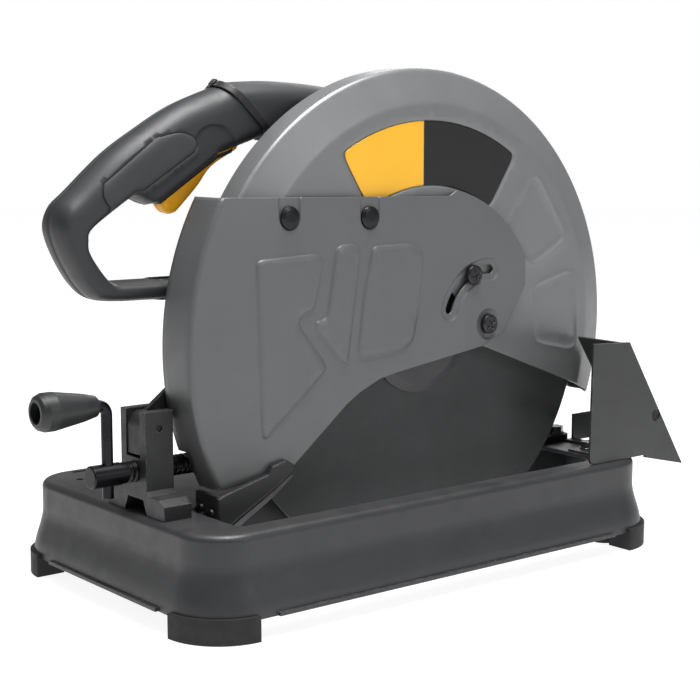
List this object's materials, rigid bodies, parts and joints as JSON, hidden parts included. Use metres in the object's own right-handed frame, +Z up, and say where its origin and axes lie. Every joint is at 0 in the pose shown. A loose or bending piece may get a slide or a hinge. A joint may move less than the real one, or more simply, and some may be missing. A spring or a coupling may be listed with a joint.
{
  "type": "abrasive chop saw",
  "caption": "Bench-top abrasive cut-off saw: swinging motor head with guarded wheel and loop handle over a tray base with screw vise, swivelling fence and spark deflector.",
  "frame": {"origin": "on the ground, under the middle of the whole saw", "axes": "+X is the operator's right, the side the wheel is on; +Y is the rear, where the head is hinged; +Z is up"},
  "size_m": [0.2954, 0.548, 0.381],
  "materials": {
    "base_paint": "satin dark grey powder coat",
    "foot_rubber": "matte black rubber",
    "bolt_steel": "blackened zinc",
    "black_casting": "black painted casting",
    "black_steel": "black oxide steel",
    "knob_plastic": "matte black",
    "spring_steel": "oiled spring steel",
    "sheet_paint": "satin dark grey paint",
    "aluminium_casting": "die cast, lightly blasted",
    "gear_steel": "machined and greased",
    "ground_steel": "ground",
    "bearing_steel": "polished races",
    "flange_steel": "machined",
    "abrasive": "coarse dark grey abrasive",
    "armature": "laminated iron, copper and varnish",
    "stator_iron": "laminated iron",
    "fan_plastic": "natural plastic",
    "housing_plastic": "textured charcoal",
    "cap_plastic": "matte black",
    "inlet_rubber": "matte black rubber",
    "guard_paint": "satin mid grey paint",
    "label_yellow": "semi gloss yellow",
    "label_black": "semi gloss black",
    "front_guard_paint": "satin grey paint",
    "shoe_plastic": "satin dark grey",
    "rivet_steel": "dark domed steel",
    "screw_dark": "black oxide",
    "handle_plastic": "satin charcoal",
    "grip_rubber": "soft grey grip",
    "trigger_plastic": "orange yellow",
    "collar_plastic": "satin black"
  },
  "bodies": {
    "base": {"base_shell": "base_paint", "foot_front_left": "foot_rubber", "foot_front_right": "foot_rubber", "foot_rear_left": "foot_rubber", "foot_rear_right": "foot_rubber", "base_bolts": "bolt_steel", "vise_block": "black_casting", "lever_pin": "bolt_steel", "fence_bolts": "bolt_steel", "pivot_bracket": "black_casting", "pivot_pin": "bolt_steel", "return_spring": "spring_steel", "depth_stop": "bolt_steel", "spark_deflector": "sheet_paint"},
    "fence": {"fence": "black_casting"},
    "lock_pin": {"lock_pin": "black_steel"},
    "release_lever": {"release_lever": "black_casting"},
    "jaw": {"vise_jaw": "black_casting", "jaw_ring": "spring_steel"},
    "crank": {"vise_screw": "black_steel", "crank_rod": "black_steel"},
    "knob": {"crank_knob": "knob_plastic"},
    "spindle": {"spindle_gear": "gear_steel", "spindle_shaft": "ground_steel", "inner_flange": "flange_steel", "cutting_wheel": "abrasive", "outer_flange": "flange_steel", "arbor_bolt": "bolt_steel"},
    "rotor": {"motor_shaft": "ground_steel", "armature_core": "armature", "cooling_fan": "fan_plastic"},
    "front_guard": {"front_guard": "front_guard_paint", "guard_shoe": "shoe_plastic", "guard_rivets": "rivet_steel", "shoe_bolts": "rivet_steel"},
    "trigger": {"trigger": "trigger_plastic"},
    "lock_off": {"lock_off_button": "trigger_plastic"},
    "spindle_lock": {"spindle_lock": "cap_plastic"},
    "head": {"swing_arm": "aluminium_casting", "gear_cover": "aluminium_casting", "housing_screws": "bolt_steel", "spindle_bearings": "bearing_steel", "motor_bearings": "bearing_steel", "stator": "stator_iron", "motor_housing": "housing_plastic", "motor_end_cap": "housing_plastic", "brush_caps": "cap_plastic", "cord_inlet": "inlet_rubber", "fixed_guard": "guard_paint", "label_yellow": "label_yellow", "label_black": "label_black", "guard_screws": "screw_dark", "handle_right": "handle_plastic", "handle_left": "handle_plastic", "grip_right": "grip_rubber", "grip_left": "grip_rubber", "handle_screws": "screw_dark", "switch_body": "cap_plastic", "neck_collar": "collar_plastic", "arm_shroud": "handle_plastic"}
  },
  "joints": [
    {"name": "head_hinge", "type": "hinge", "parent": "base", "child": "head", "pos_m": [0.0113, 0.2005, 0.118], "axis": [-1, 0, 0], "range_deg": [0, 45], "stiffness_Nm_per_rad": 7, "springref_deg": 108.86},
    {"name": "vise_slide", "type": "slide", "parent": "base", "child": "jaw", "axis": [0, -1, 0], "range_m": [0, 0.07]},
    {"name": "crank_turn", "type": "hinge", "parent": "jaw", "child": "crank", "pos_m": [0.0373, -0.2205, 0.1], "axis": [0, 1, 0], "continuous": true},
    {"name": "knob_spin", "type": "hinge", "parent": "crank", "child": "knob", "pos_m": [0.0373, -0.2545, 0.149], "axis": [0, 1, 0], "continuous": true},
    {"name": "release_lever_hinge", "type": "hinge", "parent": "base", "child": "release_lever", "pos_m": [0.0113, -0.1885, 0.131], "axis": [1, 0, 0], "range_deg": [0, 15]},
    {"name": "fence_swivel", "type": "hinge", "parent": "base", "child": "fence", "pos_m": [0.0273, 0.0165, 0.075], "axis": [0, 0, 1], "range_deg": [0, 30]},
    {"name": "hold_down_pin", "type": "slide", "parent": "base", "child": "lock_pin", "axis": [-1, 0, 0], "range_m": [-0.022, 0]},
    {"name": "front_guard_hinge", "type": "hinge", "parent": "head", "child": "front_guard", "pos_m": [0.0713, 0.0985, 0.184], "axis": [-1, 0, 0], "range_deg": [0, 46]},
    {"name": "spindle_spin", "type": "hinge", "parent": "head", "child": "spindle", "pos_m": [0.0573, 0.0415, 0.181], "axis": [1, 0, 0], "continuous": true},
    {"name": "rotor_spin", "type": "hinge", "parent": "head", "child": "rotor", "pos_m": [-0.0687, 0.0232, 0.22211], "axis": [1, 0, 0], "continuous": true},
    {"name": "trigger_pull", "type": "hinge", "parent": "head", "child": "trigger", "pos_m": [0.0093, -0.1015, 0.327], "axis": [-1, 0, 0], "range_deg": [0, 8], "stiffness_Nm_per_rad": 4, "springref_deg": -5.73},
    {"name": "lock_off_press", "type": "slide", "parent": "head", "child": "lock_off", "axis": [1, 0, 0], "range_m": [0, 0.004], "stiffness_N_per_m": 800, "springref_m": -0.002},
    {"name": "spindle_lock_press", "type": "slide", "parent": "head", "child": "spindle_lock", "axis": [1, 0, 0], "range_m": [0, 0.006], "stiffness_N_per_m": 800, "springref_m": -0.002}
  ],
  "couplings": [
    {"joint": "crank_turn", "follows": "vise_slide", "rad_per_m": 1570.8},
    {"joint": "rotor_spin", "follows": "spindle_spin", "ratio": -5}
  ]
}
